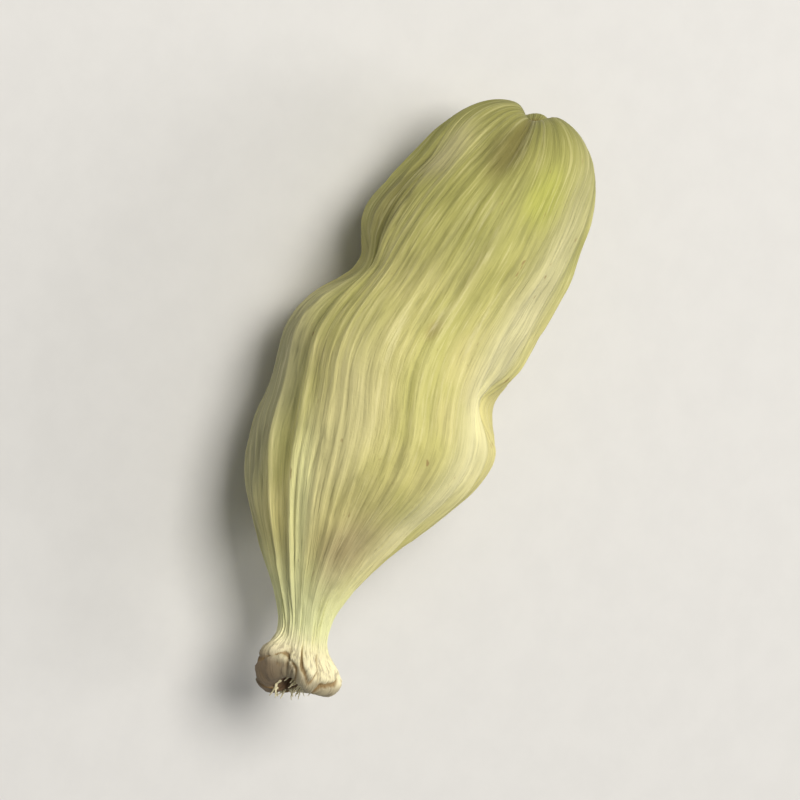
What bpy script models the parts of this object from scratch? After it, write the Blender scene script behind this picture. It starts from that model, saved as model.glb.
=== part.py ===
"""A dried green cardamom pod lying on its side, at its real size, in metres.

+X runs from the stalk end to the blunt tip, +Z is up, and the origin is on the surface that the
pod lies on, under the middle of its bounding box. A half outline is spun round the pod's long
axis, and lobes, grooves, ribs and dents are then raised from it by formulas. Angles round the
pod start at its top, at +Z, and grow towards +Y.
"""

import math
import random

import bmesh
import bpy
import numpy
from mathutils import Vector, noise

MM = 0.001

# Driving dimensions
POD_LENGTH = 18.0 * MM
BELLY_HALF_WIDTH = 3.33 * MM
DEPTH_TO_WIDTH = 0.95
KNOB_RADIUS = 1.12 * MM
KNOB_LENGTH = 1.6 * MM
NECK_RADIUS = 0.72 * MM
NECK_END = 2.8 * MM
NECK_LIFT = 0.35 * MM
PIT_RADIUS = 0.42 * MM
PIT_DEPTH = 0.75 * MM

# Half width of the body, as (distance from the stalk end, share of the belly's half width)
BODY_OUTLINE = [
    (3.9 * MM, 0.46),
    (5.5 * MM, 0.74),
    (7.3 * MM, 0.955),
    (9.4 * MM, 0.99),
    (11.5 * MM, 0.92),
    (13.7 * MM, 0.905),
    (15.3 * MM, 0.82),
    (16.5 * MM, 0.69),
]

# Half width of the blunt end, as (distance back from the tip, share of the belly's half width)
TIP_OUTLINE = [(0.72 * MM, 0.47), (0.40 * MM, 0.25), (0.50 * MM, 0.05)]

# The middle line's sway, as (distance from the stalk end, how far it strays towards +Y)
MIDDLE_LINE = [
    (0.0, 0.86 * MM),
    (1.6 * MM, 1.08 * MM),
    (3.5 * MM, 1.52 * MM),
    (5.5 * MM, 1.51 * MM),
    (8.0 * MM, 1.00 * MM),
    (10.2 * MM, 1.20 * MM),
    (12.3 * MM, 0.80 * MM),
    (14.5 * MM, 0.37 * MM),
    (16.5 * MM, -0.03 * MM),
    (18.0 * MM, -0.05 * MM),
]

# Three lobes: one on top, leaning towards +Y, and two underneath
LOBES = 3
LOBE_TURN = math.radians(20.0)
LOBE_RISE = 0.065
LOBES_GROW = (2.5 * MM, 6.0 * MM)
GROOVE_DEPTH = 0.11 * MM
GROOVE_HALF_ANGLE = math.radians(7.0)
GROOVES_GROW = (3.0 * MM, 5.5 * MM)
GROOVES_FADE = (9.5 * MM, 14.0 * MM)
TIP_LOBE_REACH = 0.34 * MM
TIP_DIMPLE_RADIUS = 0.73 * MM
TIP_LOBES_GROW = (15.5 * MM, 17.3 * MM)
TIP_LOBE_TURN = math.radians(90.0)
TIP_CREASE_DEPTH = 0.22 * MM
TIP_CREASES_GROW = (14.6 * MM, 16.8 * MM)

# How the lobes and ribs turn round the long axis towards the stalk
STALK_TWIST = math.radians(25.0)
STALK_TWIST_FADES = (2.8 * MM, 9.5 * MM)

# Ribs that run the length of the husk and meet at both ends
RIBS = 18
RIB_HEIGHT = 0.12 * MM
RIB_SHARPNESS = 3
LOWEST_RIB = 0.35
GROOVE_RIB = 1.15
RIBS_RISE = (1.9 * MM, 3.6 * MM)
RIBS_FADE = (13.0 * MM, 17.4 * MM)
RIB_MEAN_STRENGTH = 0.75
RIB_UNEVENNESS = 0.35
RIB_UNEVENNESS_LENGTH = 3.5 * MM
RIB_TO_RIB = 1.7
RIB_WANDER = math.radians(2.6)
RIB_WANDER_LENGTH = 6.0 * MM
RIB_WANDERS_AROUND = 1.3
RIB_SEED = 7

# Unevenness of the dry husk over its seeds
SEED_BUMP_HEIGHT = 0.12 * MM
SEED_BUMP_LENGTH = 2.3 * MM
SEED_BUMPS_AROUND = 1.5
SEED_BUMPS_GROW = (3.5 * MM, 6.0 * MM)
SEED_BUMPS_FADE = (15.0 * MM, 17.0 * MM)

# The ragged scar that the stalk left on the knob
KNOB_RAGGEDNESS = 0.20
KNOB_POINTS = 5
KNOB_POINTS_TURN = math.radians(34.0)
KNOB_SQUASH_SHARE = 0.33
KNOB_SQUASH_TURN = math.radians(-63.0)
KNOB_SMOOTHS = (1.1 * MM, 1.9 * MM)
RIM_BREAK_DEPTH = 0.50 * MM
RIM_BREAK_ANGLE = math.radians(42.0)
RIM_BREAK_HALF_ANGLE = math.radians(38.0)
END_SLANT = 0.45 * MM
LONGEST_SIDE_ANGLE = math.radians(112.0)
END_STRAIGHTENS = 1.8 * MM

# Dents in the husk, as (depth, distance from the stalk end, half length, angle, half angle)
PINCH_IN_THE_EDGE = (0.80 * MM, 9.65 * MM, 0.80 * MM, math.radians(-68.0), math.radians(28.0))
WAIST = (0.84 * MM, 12.2 * MM, 0.95 * MM, math.radians(112.0), math.radians(38.0))
HOLLOW_BY_THE_NECK = (0.20 * MM, 4.9 * MM, 1.30 * MM, math.radians(-10.0), math.radians(24.0))
DENTS = [PINCH_IN_THE_EDGE, WAIST, HOLLOW_BY_THE_NECK]

# How far the lowest points are flattened where the pod rests
REST_FLAT_DEPTH = 0.36 * MM

# Mesh fineness
POINTS_PER_RIB = 5
END_RING_SPACING = 0.25 * MM
BODY_RING_SPACING = 0.48 * MM
CURVE_STEPS = 40

HUSK_COLOUR = (0.578, 0.533, 0.205, 1.0)
HUSK_ROUGHNESS = 0.62


def smooth_step(low, high, value):
    """0 below low, 1 above high, and an even S-curve between them."""
    share = min(1.0, max(0.0, (value - low) / (high - low)))
    return share * share * (3.0 - 2.0 * share)


def bell(value, half_width):
    """1 at zero, falling away to 0 on both sides."""
    return math.exp(-((value / half_width) ** 2))


def angle_between(a, b):
    """The angle from b to a, between -pi and pi."""
    return math.atan2(math.sin(a - b), math.cos(a - b))


def curve_through(points, steps):
    """Points along a smooth curve through the given ones, with this many steps in each span."""
    padded = [points[0], *points, points[-1]]
    curve = []
    for before, start, end, after in zip(padded, padded[1:], padded[2:], padded[3:]):
        for i in range(steps):
            t = i / steps
            straight = 2 * start + (end - before) * t
            bent = (2 * before - 5 * start + 4 * end - after) * t**2
            bent_more = (3 * start - before - 3 * end + after) * t**3
            curve.append(0.5 * (straight + bent + bent_more))
    curve.append(points[-1])
    return curve


def knob_outline():
    """The pit in the stalk end, the knob round it, and the neck, as (distance, radius)."""
    pit = [
        (PIT_DEPTH, 0.3 * PIT_RADIUS),
        (0.55 * PIT_DEPTH, 0.75 * PIT_RADIUS),
        (0.2 * PIT_DEPTH, PIT_RADIUS),
    ]
    knob = [
        (0.0, 0.68 * KNOB_RADIUS),
        (0.15 * KNOB_LENGTH, 0.93 * KNOB_RADIUS),
        (0.47 * KNOB_LENGTH, KNOB_RADIUS),
        (0.84 * KNOB_LENGTH, 0.80 * KNOB_RADIUS),
    ]
    neck = [(1.22 * KNOB_LENGTH, NECK_RADIUS), (NECK_END, 1.3 * NECK_RADIUS)]
    return [Vector(point) for point in [*pit, *knob, *neck]]


def outline():
    """The pod's half outline as (distance from the stalk end, radius), from the pit to the tip."""
    knob = knob_outline()
    body = [Vector((x, share * BELLY_HALF_WIDTH)) for x, share in BODY_OUTLINE]
    tip = [Vector((POD_LENGTH - x, share * BELLY_HALF_WIDTH)) for x, share in TIP_OUTLINE]
    curve = curve_through([*knob, *body, *tip], CURVE_STEPS)
    rings = [curve[0]]
    for point in curve[1:-1]:
        on_body = NECK_END < point.x < BODY_OUTLINE[-1][0]
        spacing = BODY_RING_SPACING if on_body else END_RING_SPACING
        if (point - rings[-1]).length >= spacing:
            rings.append(point)
    return [*rings, curve[-1]]


def middle_line():
    """The middle line as a smooth curve: its distances, and how far it strays at each."""
    curve = curve_through([Vector(point) for point in MIDDLE_LINE], CURVE_STEPS)
    return [point.x for point in curve], [point.y for point in curve]


def rib_heights():
    """Each rib has its own height. Those beside a groove are the strongest."""
    draw = random.Random(RIB_SEED)
    heights = [draw.uniform(LOWEST_RIB, 1.0) for _ in range(RIBS)]
    per_lobe = RIBS // LOBES
    for lobe in range(LOBES):
        beside = (lobe * per_lobe + per_lobe // 2) % RIBS
        heights[beside] = GROOVE_RIB
        heights[beside - 1] = GROOVE_RIB
    return heights


def rib_relief(angle, x, heights):
    """How high the ribs stand above the husk here, before they fade towards the ends."""
    place = angle / math.tau * RIBS
    rib = int(math.floor(place)) % RIBS
    crest = (0.5 - 0.5 * math.cos(math.tau * place)) ** RIB_SHARPNESS
    own_line = Vector((x / RIB_UNEVENNESS_LENGTH, rib * RIB_TO_RIB, 0.0))
    along = RIB_MEAN_STRENGTH + RIB_UNEVENNESS * noise.noise(own_line)
    fade = smooth_step(*RIBS_RISE, x) * (1.0 - smooth_step(*RIBS_FADE, x))
    return RIB_HEIGHT * heights[rib] * crest * along * fade


def three_grooves(angle, lobe_turn):
    """1 in the middle of each groove between three lobes, falling away to 0 on the lobes."""
    across = 0.0
    for lobe in range(LOBES):
        middle = lobe_turn + (lobe + 0.5) * math.tau / LOBES
        across += bell(angle_between(angle, middle), GROOVE_HALF_ANGLE)
    return across


def groove_relief(line, placed, x):
    """The grooves between the lobes on the belly, and the creases between those of the tip."""
    on_belly = smooth_step(*GROOVES_GROW, x) * (1.0 - smooth_step(*GROOVES_FADE, x))
    at_tip = smooth_step(*TIP_CREASES_GROW, x) * (1.0 - smooth_step(RIBS_FADE[1], POD_LENGTH, x))
    depth = GROOVE_DEPTH * three_grooves(line, 0.0) * on_belly
    return -depth - TIP_CREASE_DEPTH * three_grooves(placed, TIP_LOBE_TURN) * at_tip


def seed_relief(angle, x):
    """Gentle bumps where the dry husk has sunk onto the seeds."""
    around = Vector((0.0, math.cos(angle), math.sin(angle))) * SEED_BUMPS_AROUND
    place = around + Vector((x / SEED_BUMP_LENGTH, 0.0, 0.0))
    fade = smooth_step(*SEED_BUMPS_GROW, x) * (1.0 - smooth_step(*SEED_BUMPS_FADE, x))
    return SEED_BUMP_HEIGHT * noise.noise(place) * fade


def dent_relief(angle, x):
    """The pinch in one edge, the waist in the other, and the hollow beside the neck."""
    depth = 0.0
    for most, place, half_length, middle, half_angle in DENTS:
        across = bell(angle_between(angle, middle), half_angle)
        depth += most * across * bell(x - place, half_length)
    return -depth


def lobe_factor(line, tip_wave, x):
    """How the three lobes of the body, and then those of the tip, widen the pod."""
    at_tip = smooth_step(*TIP_LOBES_GROW, x)
    wave = math.cos(LOBES * line) * (1.0 - at_tip) + tip_wave * at_tip
    return 1.0 + LOBE_RISE * wave * smooth_step(*LOBES_GROW, x)


def knob_factor(angle, x):
    """The knob is the ragged scar of the stalk, with a few soft points round its rim."""
    points = (1.0 - KNOB_SQUASH_SHARE) * math.sin(KNOB_POINTS * angle + KNOB_POINTS_TURN)
    squash = KNOB_SQUASH_SHARE * math.sin(2 * angle + KNOB_SQUASH_TURN)
    return 1.0 + KNOB_RAGGEDNESS * (points + squash) * (1.0 - smooth_step(*KNOB_SMOOTHS, x))


def end_retreat(angle, x):
    """How far the knob's broken end draws back here: its rim slants, and has a gap on top."""
    gap = RIM_BREAK_DEPTH * bell(angle_between(angle, RIM_BREAK_ANGLE), RIM_BREAK_HALF_ANGLE)
    slant = END_SLANT * (0.5 - 0.5 * math.cos(angle - LONGEST_SIDE_ANGLE))
    return (gap + slant) * (1.0 - smooth_step(0.0, END_STRAIGHTENS, x))


def turned(angle, x):
    """The angle that a line along the husk has here, twisted by the stalk and wandering."""
    twist = LOBE_TURN - STALK_TWIST * (1.0 - smooth_step(*STALK_TWIST_FADES, x))
    around = Vector((0.0, math.cos(angle), math.sin(angle)))
    place = around * RIB_WANDERS_AROUND + Vector((x / RIB_WANDER_LENGTH, 0.0, 0.0))
    return angle + twist + RIB_WANDER * noise.noise(place)


def shaped(point, heights, middle):
    """Where a point of the plain spun body ends up on the pod."""
    x = point.x
    plain_radius = math.hypot(point.y, point.z)
    line = math.atan2(point.y, point.z)
    placed = turned(line, x)
    tip_wave = math.cos(LOBES * (placed - TIP_LOBE_TURN))
    radius = plain_radius * lobe_factor(line, tip_wave, x) * knob_factor(line, x)
    radius += rib_relief(line, x, heights) + groove_relief(line, placed, x)
    radius += seed_relief(line, x) + dent_relief(placed, x)

    off_centre = smooth_step(0.0, TIP_DIMPLE_RADIUS, plain_radius)
    near_tip = smooth_step(*TIP_LOBES_GROW, x) * off_centre
    reach = TIP_LOBE_REACH * (0.5 + 0.5 * tip_wave) * near_tip

    flatter = (1.0 - DEPTH_TO_WIDTH) * smooth_step(*LOBES_GROW, x)
    lift = NECK_LIFT * (1.0 - smooth_step(0.0, BODY_OUTLINE[1][0], x))
    return Vector(
        (
            x + reach + end_retreat(placed, x),
            radius * math.sin(placed) + numpy.interp(x, *middle),
            radius * math.cos(placed) * (1.0 - flatter) + lift,
        )
    )


def spun_body():
    """A plain body of revolution: the outline spun round the long axis, with both ends closed."""
    mesh = bmesh.new()
    profile = [mesh.verts.new((x, 0.0, radius)) for x, radius in outline()]
    edges = [mesh.edges.new(pair) for pair in zip(profile, profile[1:])]
    bmesh.ops.spin(
        mesh,
        geom=[*profile, *edges],
        cent=(0.0, 0.0, 0.0),
        axis=(1.0, 0.0, 0.0),
        angle=math.tau,
        steps=RIBS * POINTS_PER_RIB,
        use_merge=True,
    )
    bmesh.ops.holes_fill(mesh, edges=[edge for edge in mesh.edges if edge.is_boundary])
    bmesh.ops.recalc_face_normals(mesh, faces=mesh.faces)
    return mesh


def rest_on_ground(mesh):
    """Flattens the lowest points and puts the origin under the middle of the pod."""
    ground = min(vert.co.z for vert in mesh.verts) + REST_FLAT_DEPTH
    for vert in mesh.verts:
        vert.co.z = max(vert.co.z, ground)
    xs = [vert.co.x for vert in mesh.verts]
    ys = [vert.co.y for vert in mesh.verts]
    middle = Vector(((min(xs) + max(xs)) / 2, (min(ys) + max(ys)) / 2, ground))
    bmesh.ops.translate(mesh, verts=mesh.verts, vec=-middle)


def husk_material():
    """The plain colour and sheen of the dry husk."""
    material = bpy.data.materials.new("dry_husk")
    material.use_nodes = True
    shader = material.node_tree.nodes["Principled BSDF"]
    shader.inputs["Base Color"].default_value = HUSK_COLOUR
    shader.inputs["Roughness"].default_value = HUSK_ROUGHNESS
    shader.inputs["Metallic"].default_value = 0.0
    return material


def make_pod():
    """The whole pod, grown as one piece."""
    mesh = spun_body()
    heights = rib_heights()
    middle = middle_line()
    for vert in mesh.verts:
        vert.co = shaped(vert.co, heights, middle)
    rest_on_ground(mesh)
    bmesh.ops.triangulate(mesh, faces=mesh.faces, quad_method="SHORT_EDGE")
    data = bpy.data.meshes.new("cardamom_pod")
    mesh.to_mesh(data)
    mesh.free()
    data.shade_smooth()
    data.materials.append(husk_material())
    pod = bpy.data.objects.new("cardamom_pod", data)
    bpy.context.scene.collection.objects.link(pod)
    return pod


def main():
    for old in list(bpy.data.objects):
        bpy.data.objects.remove(old, do_unlink=True)
    make_pod()


main()
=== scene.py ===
"""A dried green cardamom pod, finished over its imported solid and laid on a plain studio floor.

Laid out as a Blender add-on and run as a script. Lengths are in metres. +X runs from the stalk end
to the blunt tip, +Z is up. Angles round the pod start at its top, at +Z, and grow towards +Y.
"""

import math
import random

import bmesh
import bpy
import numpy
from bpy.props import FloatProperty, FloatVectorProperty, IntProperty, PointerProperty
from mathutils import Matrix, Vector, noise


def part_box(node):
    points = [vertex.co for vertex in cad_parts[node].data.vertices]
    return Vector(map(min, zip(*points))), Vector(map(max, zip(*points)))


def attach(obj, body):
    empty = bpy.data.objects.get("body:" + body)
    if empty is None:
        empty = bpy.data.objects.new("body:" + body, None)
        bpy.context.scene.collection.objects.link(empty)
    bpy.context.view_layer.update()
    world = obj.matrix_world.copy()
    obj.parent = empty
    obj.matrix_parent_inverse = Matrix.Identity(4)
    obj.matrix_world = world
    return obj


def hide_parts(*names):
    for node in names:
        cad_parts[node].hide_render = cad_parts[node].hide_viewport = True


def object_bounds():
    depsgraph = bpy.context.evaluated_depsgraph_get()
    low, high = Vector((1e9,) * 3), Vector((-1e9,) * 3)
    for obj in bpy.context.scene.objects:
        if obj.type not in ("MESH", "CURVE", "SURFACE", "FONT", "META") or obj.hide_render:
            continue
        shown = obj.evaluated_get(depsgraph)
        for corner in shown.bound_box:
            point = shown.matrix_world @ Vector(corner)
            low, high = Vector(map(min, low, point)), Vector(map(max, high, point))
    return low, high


bl_info = {
    "name": "Green Cardamom Pod",
    "version": (1, 0, 0),
    "blender": (4, 5, 0),
    "location": "View3D > Sidebar > Cardamom",
    "description": "Grows a ribbed, dry cardamom husk over its solid, with its torn stalk end and a studio",
    "category": "Add Mesh",
}

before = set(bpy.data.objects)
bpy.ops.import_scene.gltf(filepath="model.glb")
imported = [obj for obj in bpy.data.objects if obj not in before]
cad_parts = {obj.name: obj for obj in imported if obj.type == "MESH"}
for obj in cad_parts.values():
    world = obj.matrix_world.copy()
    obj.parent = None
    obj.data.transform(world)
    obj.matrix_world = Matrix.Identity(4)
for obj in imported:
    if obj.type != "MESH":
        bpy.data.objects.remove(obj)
CAD_LOW, CAD_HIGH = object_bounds()
POD_LOW, POD_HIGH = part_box("cardamom_pod")

MM = 0.001

# The pod's own build, as its solid has it
POD_LENGTH = 18.0 * MM
BELLY_HALF_WIDTH = 3.33 * MM
DEPTH_TO_WIDTH = 0.95
KNOB_RADIUS = 1.12 * MM
KNOB_LENGTH = 1.6 * MM
NECK_RADIUS = 0.72 * MM
NECK_START = 1.22 * KNOB_LENGTH
NECK_END = 2.8 * MM
NECK_FLARE = 1.3
NECK_LIFT = 0.35 * MM
NECK_LIFT_ENDS = 5.5 * MM
PIT_RADIUS = 0.42 * MM
PIT_DEPTH = 0.75 * MM

# Half widths of the pit and of the knob, as (share of its length, share of its radius)
PIT_OUTLINE = [(1.0, 0.3), (0.55, 0.75), (0.2, 1.0)]
KNOB_OUTLINE = [(0.0, 0.68), (0.15, 0.93), (0.47, 1.0), (0.84, 0.80)]

# Half width of the body, as (distance from the stalk end, share of the belly's half width)
BODY_OUTLINE = [
    (3.9 * MM, 0.46),
    (5.5 * MM, 0.74),
    (7.3 * MM, 0.955),
    (9.4 * MM, 0.99),
    (11.5 * MM, 0.92),
    (13.7 * MM, 0.905),
    (15.3 * MM, 0.82),
    (16.5 * MM, 0.69),
]

# Half width of the blunt end and of the dimple in it, as (distance back from the tip, share of
# the belly's half width)
TIP_OUTLINE = [(0.72 * MM, 0.47), (0.40 * MM, 0.25), (0.50 * MM, 0.05)]

# The middle line's sway, as (distance from the stalk end, how far it strays towards +Y)
MIDDLE_LINE = [
    (0.0, 0.86 * MM),
    (1.6 * MM, 1.08 * MM),
    (3.5 * MM, 1.52 * MM),
    (5.5 * MM, 1.51 * MM),
    (8.0 * MM, 1.00 * MM),
    (10.2 * MM, 1.20 * MM),
    (12.3 * MM, 0.80 * MM),
    (14.5 * MM, 0.37 * MM),
    (16.5 * MM, -0.03 * MM),
    (18.0 * MM, -0.05 * MM),
]

# The three lobes with the grooves between them, at the belly and at the tip, and the stalk's twist
LOBES = 3
LOBE_TURN = math.radians(20.0)
LOBE_RISE = 0.065
LOBES_GROW = (2.5 * MM, 6.0 * MM)
GROOVE_DEPTH = 0.11 * MM
GROOVE_HALF_ANGLE = math.radians(7.0)
GROOVES_GROW = (3.0 * MM, 5.5 * MM)
GROOVES_FADE = (9.5 * MM, 14.0 * MM)
TIP_LOBE_REACH = 0.34 * MM
TIP_DIMPLE_RADIUS = 0.73 * MM
TIP_LOBES_GROW = (15.5 * MM, 17.3 * MM)
TIP_LOBE_TURN = math.radians(90.0)
TIP_CREASE_DEPTH = 0.22 * MM
TIP_CREASES_GROW = (14.6 * MM, 16.8 * MM)
STALK_TWIST = math.radians(25.0)
STALK_TWIST_FADES = (2.8 * MM, 9.5 * MM)

# The long ribs
RIBS = 18
RIB_HEIGHT = 0.12 * MM
RIB_SHARPNESS = 3
LOWEST_RIB = 0.35
GROOVE_RIB = 1.15
RIBS_RISE = (1.9 * MM, 3.6 * MM)
RIBS_FADE = (13.0 * MM, 17.4 * MM)
RIB_MEAN_STRENGTH = 0.75
RIB_UNEVENNESS = 0.35
RIB_UNEVENNESS_LENGTH = 3.5 * MM
RIB_TO_RIB = 1.7
RIB_WANDER = math.radians(2.6)
RIB_WANDER_LENGTH = 6.0 * MM
RIB_WANDERS_AROUND = 1.3
RIB_SEED = 7

# The bumps over the seeds
SEED_BUMP_HEIGHT = 0.12 * MM
SEED_BUMP_LENGTH = 2.3 * MM
SEED_BUMPS_AROUND = 1.5
SEED_BUMPS_GROW = (3.5 * MM, 6.0 * MM)
SEED_BUMPS_FADE = (15.0 * MM, 17.0 * MM)

# The torn stalk end, whose broken face slants and has a gap in its rim
KNOB_RAGGEDNESS = 0.20
KNOB_POINTS = 5
KNOB_POINTS_TURN = math.radians(34.0)
KNOB_SQUASH_SHARE = 0.33
KNOB_SQUASH_TURN = math.radians(-63.0)
KNOB_SMOOTHS = (1.1 * MM, 1.9 * MM)
RIM_BREAK_DEPTH = 0.50 * MM
RIM_BREAK_ANGLE = math.radians(42.0)
RIM_BREAK_HALF_ANGLE = math.radians(38.0)
END_SLANT = 0.45 * MM
LONGEST_SIDE_ANGLE = math.radians(112.0)
END_STRAIGHTENS = 1.8 * MM

# Dents in the husk, as (depth, distance from the stalk end, half length, angle, half angle)
PINCH_IN_THE_EDGE = (0.80 * MM, 9.65 * MM, 0.80 * MM, math.radians(-68.0), math.radians(28.0))
WAIST = (0.84 * MM, 12.2 * MM, 0.95 * MM, math.radians(112.0), math.radians(38.0))
HOLLOW_BY_THE_NECK = (0.20 * MM, 4.9 * MM, 1.30 * MM, math.radians(-10.0), math.radians(24.0))
DENTS = [PINCH_IN_THE_EDGE, WAIST, HOLLOW_BY_THE_NECK]

# How far the underside is flattened, and the steps between two points of a curve
REST_FLAT_DEPTH = 0.36 * MM
CURVE_STEPS = 200

# The finer relief: how many swings go round the pod, how long one is along it, how sharp it is
SIDE_RIBS_PER_RIB = 3
SIDE_RIB_SHARPNESS = 2
SIDE_RIB_MEAN_STRENGTH = 0.5
SIDE_RIB_CHANGES_AROUND = 4.0
FIBRES_AROUND = 13.0
FIBRE_LENGTH = 2.6 * MM
PUCKERS_AROUND = 5.0
PUCKER_LENGTH = 1.1 * MM
WRINKLES_AROUND = 3.2
WRINKLE_LENGTH = 0.30 * MM
WRINKLES_LEAVE_NECK = (2.2 * MM, 5.2 * MM)
WRINKLING_DENT = 0.4 * MM
WRINKLES_EVERYWHERE = 0.10
WRINKLES_WHERE_BENT = 0.5
CREASES_AROUND = 7.0
CREASE_LENGTH = 6.0 * MM
CREASE_SHARPNESS = 0.05
KNOB_LUMPS_AROUND = 2.4
KNOB_LUMP_LENGTH = 0.55 * MM
KNOB_LUMP_SOFTNESS = 0.9
KNOB_LUMP_FINER_BY = 2.1
KNOB_LUMP_LAYERS = 4
KNOB_LUMP_STRENGTH = 0.6
KNOB_FIBRES_AROUND = 7.0
KNOB_FIBRE_LENGTH = 1.1 * MM
KNOB_CRACKS_AROUND = 1.9
KNOB_CRACK_LENGTH = 1.3 * MM
KNOB_CRACK_SHARPNESS = 0.09

# The height at which the finish counts the finer relief as 1
FINE_MARK = 0.04 * MM

# Where the colours of the pit's mouth, of its depth and of the knob end
PIT_MOUTH = (0.75 * PIT_RADIUS, 1.35 * PIT_RADIUS)
PIT_COLOUR_ENDS = (PIT_DEPTH, 1.1 * PIT_DEPTH)
KNOB_COLOUR_ENDS = (0.75 * KNOB_LENGTH, 1.45 * KNOB_LENGTH)

# Patches of colour, as (distance from the stalk end, half length, angle, half angle)
PATCHES = {
    # Partly painted shade: the hollow beside the neck is painted a darker tan, for its pinkish tan and for
    # the shade in the hollow
    "tan_patch": (4.3 * MM, 1.45 * MM, math.radians(-4.0), math.radians(28.0)),
    "green_patch": (15.6 * MM, 0.9 * MM, math.radians(-6.0), math.radians(14.0)),
    "pale_band": (7.2 * MM, 3.8 * MM, math.radians(38.0), math.radians(18.0)),
    "olive_band": (10.0 * MM, 2.2 * MM, math.radians(8.0), math.radians(11.0)),
    # Partly painted highlight: the right lobe's edge, lit from the right, is painted cream over its own
    # paler tone
    "pale_edge": (10.0 * MM, 7.5 * MM, math.radians(-41.0), math.radians(24.0)),
    # Painted shade: the left lobe, turned from the key light, is painted a darker grey-green
    "grey_edge": (7.5 * MM, 5.0 * MM, math.radians(104.0), math.radians(30.0)),
    # Painted shade: the bulge past the waist, the notch and the hollow by the tip are darkened with the
    # groove colour where shade falls
    "shaded_bulge": (13.9 * MM, 1.4 * MM, math.radians(84.0), math.radians(20.0)),
    "tip_notch": (15.4 * MM, 0.4 * MM, math.radians(74.0), math.radians(16.0)),
    "tip_hollow": (16.6 * MM, 0.9 * MM, math.radians(32.0), math.radians(16.0)),
    "tip_highlight": (15.9 * MM, 0.9 * MM, math.radians(69.0), math.radians(15.0)),
    "amber_spot": (11.1 * MM, 0.35 * MM, math.radians(13.0), math.radians(3.5)),
    # Painted shade, with some pinkish grey: the stalk end's side turned from the light
    "dull_side": (0.2 * MM, 1.15 * MM, math.radians(94.0), math.radians(56.0)),
}

# The pale ridge beside the upper groove, which turns with the ribs: a painted highlight along the crest that
# catches the light, over the ridge's own pale colour
PALE_RIDGE_HIGHLIGHT = (5.0 * MM, 2.8 * MM, math.radians(42.0), math.radians(11.0))

# The tint of each marked part, as (mark, name of its colour, how far it covers what is under it)
TINTS = [
    ("tan_patch", "tan", 0.8),
    ("grey_edge", "grey", 0.95),
    ("shaded_bulge", "groove", 0.65),
    ("pale_band", "rib", 0.6),
    ("olive_band", "green", 0.6),
    ("crest", "rib", 0.18),
    ("amber_spot", "speck", 0.35),
    ("green_patch", "yellow_green", 0.7),
    ("pale_edge", "cream", 0.62),
    ("pale_ridge", "ridge", 0.95),
    ("tip_notch", "groove", 0.5),
    ("tip_hollow", "groove", 0.8),
    ("tip_highlight", "rib", 0.7),
]
TINT_EDGES = (0.05, 0.95)

# The finish's ramps, as (low, high, result at low, result at high)
BLOTCHES = (0.42, 0.68, 0.0, 0.6)
PALE_THREADS = (0.50, 0.60, 0.0, 1.0)
DARK_GAPS = (0.50, 0.40, 0.0, 1.0)
GAP_SHADE = (0.0, 1.0, 1.0, 0.84)
RELIEF_SHADE = (-1.0, 0.8, 0.86, 1.04)
# Painted light: the grooves are lightened to offset the shade that falls in them
GROOVE_PAINTED_LIGHT = (0.10, 1.0, 1.0, 1.15)
TIP_CREASE_SHADE = (0.05, 0.9, 0.0, 0.85)
SPECKS = (0.69, 0.76, 0.0, 0.7)
KNOB_SHADE_TINT = (0.1, 0.8, 0.0, 1.0)
KNOB_CRACK_TINT = (-0.6, -2.6, 0.0, 0.85)
PIT_TINT = (0.05, 0.75, 0.0, 1.0)
SCAR_TINT = (0.2, 0.9, 0.0, 0.8)
HUSK_ROUGHNESS = (0.0, 1.0, 0.64, 0.48)
STRAND_ROUGHNESS = (0.0, 1.0, 0.72, 0.58)
FLOOR_SHADE = (0.3, 0.7, 0.985, 1.015)
FLOOR_ROUGHNESS = (0.3, 0.7, 0.78, 0.88)

# Ramps along the pod, whose low and high are millimetres from the stalk end
GREENER_TO_TIP = (10.0, 15.0, 0.0, 0.8)
DARKER_TO_TIP = (8.5, 17.4, 1.0, 0.80)
DARKER_AT_TIP = (16.2, 17.4, 1.0, 0.78)
NECK_TINT = (4.6, 2.2, 0.0, 0.8)
BROKEN_END_TINT = (0.75, 0.30, 0.0, 0.65)

# The finish's noises, as (scale, detail, roughness)
BLOTCH_NOISE = (0.30, 3.0, 0.55)
SPECK_NOISE = (3.4, 2.0, 0.6)
SPECK_SQUEEZE = 0.45
BROAD_NOISE = (1.0, 2.0, 0.55)
THREAD_NOISE = (3.2, 3.0, 0.6)
HAIR_NOISE = (6.5, 2.0, 0.6)
CRINKLE_NOISE = (1.6, 3.0, 0.6)
FLOOR_NOISE = (900.0, 3.0, 0.6)

# The fibres of each part, as (fineness, how far they are squeezed along it)
HUSK_FIBRES = (2.2, 0.07)
KNOB_FIBRES = (1.1, 0.5)
STRAND_FIBRES = (3.0, 0.3)
HUSK_THREAD_SHARE = 0.28
KNOB_GAP_SHARE = 0.5
STRAND_GAP_SHARE = 0.8
HUSK_BUMP = {"Strength": 1.0, "Distance": 0.05 * MM}
STRAND_BUMP = {"Strength": 0.5, "Distance": 0.01 * MM}
HUSK_SHINE = 0.35

# The torn fibres round the pit
STRAND_SIDES = 6
STRAND_JOINTS = 5
STRAND_TAPER = 0.74
STRAND_BEND = 0.35
STRAND_FLARE = 0.3
STRAND_SCATTER = 0.4
STRAND_OVERHANG = 0.1 * MM
SHORTEST_STRAND = 0.35
THINNEST_STRAND = 0.45
STRAND_SEED = 31

# The pit's rim, where those fibres are rooted, by the marks stored on the husk
RIM_LEAST_KNOB = 0.99
RIM_LEAST_PIT = 0.15
RIM_MOST_PIT = 0.6

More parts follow.
